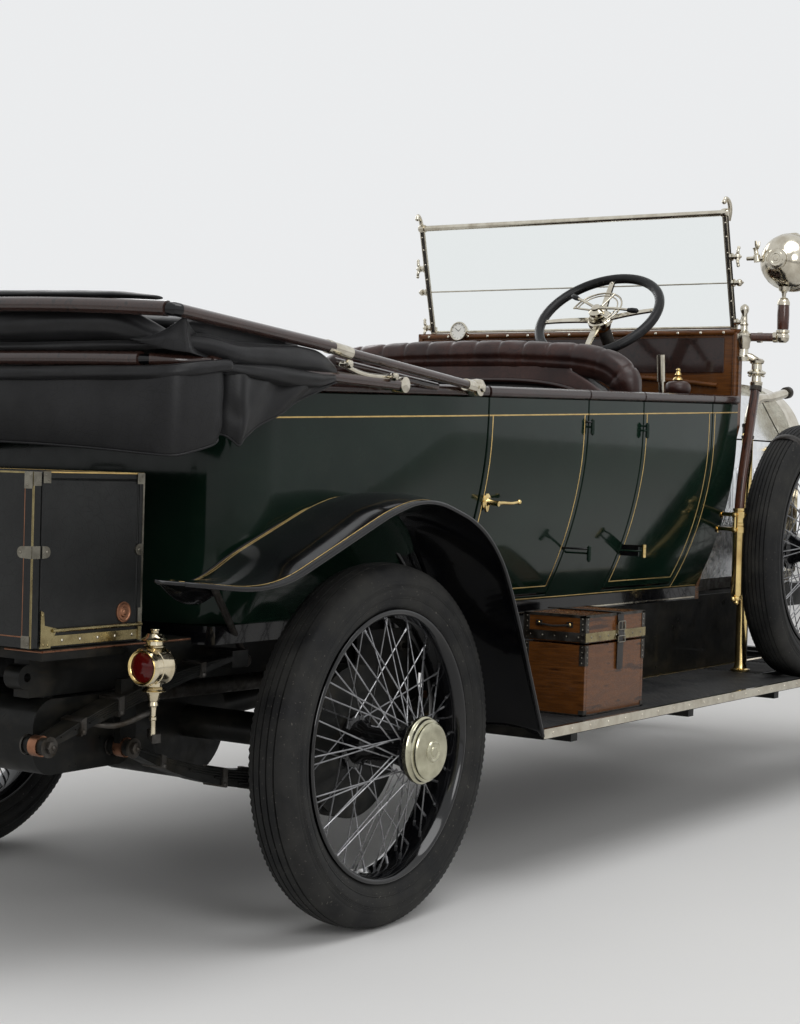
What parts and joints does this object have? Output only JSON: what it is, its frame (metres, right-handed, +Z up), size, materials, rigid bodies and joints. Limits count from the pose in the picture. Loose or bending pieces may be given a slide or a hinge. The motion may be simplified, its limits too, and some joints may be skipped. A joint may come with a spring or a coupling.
{
  "type": "brass era touring car",
  "caption": "Open four-door touring car of the early brass era with wire wheels, folded cloth hood, luggage trunk, tool box and side-mounted spare tyre.",
  "frame": {"origin": "on the ground, in the middle of the car's length and width", "axes": "+X forward, +Y to the car's left, +Z up"},
  "size_m": [5.1784, 1.772, 2.0513],
  "materials": {
    "body_paint": "gloss black green",
    "fender_paint": "gloss black",
    "chassis_paint": "satin black",
    "rim_paint": "gloss black",
    "tyre_rubber": "dusty",
    "wheel_rubber": "hard rubber",
    "board_mat": "ribbed mat",
    "mahogany": "varnished",
    "rail_wood": "varnished",
    "floor_wood": "oiled",
    "bow_wood": "varnished",
    "brown_leather": "satin",
    "hood_cloth": "coated cloth",
    "trunk_cloth": "grained",
    "polished_brass": "polished",
    "nickel": "polished nickel",
    "bonnet_metal": "polished",
    "engine_iron": "cast",
    "dark_iron": "oily",
    "core_metal": "matt black",
    "clear_glass": "clear"
  },
  "bodies": {
    "car": {"aprons": "body_paint", "board_brackets": "chassis_paint", "body_floor": "floor_wood", "bonnet_hinge": "nickel", "bonnet_sides": "bonnet_metal", "brass_pillar": "polished_brass", "chassis_frame": "chassis_paint", "crook_tube": "nickel", "dash": "mahogany", "engine": "engine_iron", "exhaust": "dark_iron", "front_axle": "chassis_paint", "front_fenders": "fender_paint", "front_seat": "brown_leather", "fuel_tank": "chassis_paint", "headlamps": "polished_brass", "hood_bows": "bow_wood", "hood_cloth": "hood_cloth", "leaf_springs": "dark_iron", "levers_and_pedals": "nickel", "luggage_rack": "chassis_paint", "radiator_core": "core_metal", "radiator_shell": "nickel", "rear_axle": "dark_iron", "rear_body": "body_paint", "rear_fenders": "fender_paint", "rear_seat": "brown_leather", "running_boards": "board_mat", "search_lamp": "polished_brass", "seat_roll": "brown_leather", "side_panels": "body_paint", "spare_wheel": "rim_paint", "spare_tyre": "tyre_rubber", "steering_column": "polished_brass", "tail_lamp": "polished_brass", "toolbox": "mahogany", "top_rails": "rail_wood", "trunk": "trunk_cloth", "windscreen_frame": "nickel", "windscreen_glass": "clear_glass"},
    "knuckle_right": {"knuckle_right": "chassis_paint"},
    "knuckle_left": {"knuckle_left": "chassis_paint"},
    "wheel_front_right": {"wire_wheel_front_right": "rim_paint", "tyre_front_right": "tyre_rubber"},
    "wheel_front_left": {"wire_wheel_front_left": "rim_paint", "tyre_front_left": "tyre_rubber"},
    "wheel_rear_right": {"wire_wheel_rear_right": "rim_paint", "tyre_rear_right": "tyre_rubber"},
    "wheel_rear_left": {"wire_wheel_rear_left": "rim_paint", "tyre_rear_left": "tyre_rubber"},
    "steering_wheel": {"steering_wheel": "wheel_rubber"},
    "door_front_right": {"door_front_right": "body_paint"},
    "door_front_left": {"door_front_left": "body_paint"},
    "door_rear_right": {"door_rear_right": "body_paint"},
    "door_rear_left": {"door_rear_left": "body_paint"},
    "bonnet_right": {"bonnet_right": "bonnet_metal"},
    "bonnet_left": {"bonnet_left": "bonnet_metal"},
    "trunk_door": {"trunk_door": "trunk_cloth"},
    "toolbox_lid": {"toolbox_lid": "mahogany"}
  },
  "joints": [
    {"name": "steer_right", "type": "hinge", "parent": "car", "child": "knuckle_right", "pos_m": [2.071, -0.6, 0.4475], "axis": [0, 0, 1], "range_deg": [-32, 32]},
    {"name": "steer_left", "type": "hinge", "parent": "car", "child": "knuckle_left", "pos_m": [2.071, 0.6, 0.4475], "axis": [0, 0, 1], "range_deg": [-32, 32]},
    {"name": "steering_wheel_turn", "type": "hinge", "parent": "car", "child": "steering_wheel", "pos_m": [0.276, -0.3, 1.65], "axis": [-0.6691, 0, 0.7431], "range_deg": [-386, 386]},
    {"name": "spin_front_right", "type": "hinge", "parent": "knuckle_right", "child": "wheel_front_right", "pos_m": [2.071, -0.711, 0.4475], "axis": [0, 1, 0], "continuous": true},
    {"name": "spin_front_left", "type": "hinge", "parent": "knuckle_left", "child": "wheel_front_left", "pos_m": [2.071, 0.711, 0.4475], "axis": [0, 1, 0], "continuous": true},
    {"name": "spin_rear_right", "type": "hinge", "parent": "car", "child": "wheel_rear_right", "pos_m": [-1.574, -0.711, 0.4475], "axis": [0, 1, 0], "continuous": true},
    {"name": "spin_rear_left", "type": "hinge", "parent": "car", "child": "wheel_rear_left", "pos_m": [-1.574, 0.711, 0.4475], "axis": [0, 1, 0], "continuous": true},
    {"name": "hinge_door_rear_right", "type": "hinge", "parent": "car", "child": "door_rear_right", "pos_m": [-0.432, -0.672, 1.05], "axis": [0, 0, 1], "range_deg": [0, 80]},
    {"name": "hinge_door_rear_left", "type": "hinge", "parent": "car", "child": "door_rear_left", "pos_m": [-0.432, 0.672, 1.05], "axis": [0, 0, -1], "range_deg": [0, 80]},
    {"name": "hinge_door_front_right", "type": "hinge", "parent": "car", "child": "door_front_right", "pos_m": [-0.076, -0.672, 1.05], "axis": [0, 0, -1], "range_deg": [0, 80]},
    {"name": "hinge_door_front_left", "type": "hinge", "parent": "car", "child": "door_front_left", "pos_m": [-0.076, 0.672, 1.05], "axis": [0, 0, 1], "range_deg": [0, 80]},
    {"name": "hinge_bonnet_right", "type": "hinge", "parent": "car", "child": "bonnet_right", "pos_m": [1.326, 0, 1.497], "axis": [-1, 0, 0], "range_deg": [0, 60]},
    {"name": "hinge_bonnet_left", "type": "hinge", "parent": "car", "child": "bonnet_left", "pos_m": [1.326, 0, 1.497], "axis": [1, 0, 0], "range_deg": [0, 60]},
    {"name": "hinge_trunk_door", "type": "hinge", "parent": "car", "child": "trunk_door", "pos_m": [-2.558, 0, 0.722], "axis": [0, -1, 0], "range_deg": [0, 90]},
    {"name": "hinge_toolbox_lid", "type": "hinge", "parent": "car", "child": "toolbox_lid", "pos_m": [-0.493, -0.593, 0.643], "axis": [1, 0, 0], "range_deg": [-60, 0]}
  ],
  "couplings": [
    {"joint": "steer_left", "follows": "steer_right", "ratio": 1},
    {"joint": "steering_wheel_turn", "follows": "steer_right", "ratio": 12}
  ]
}
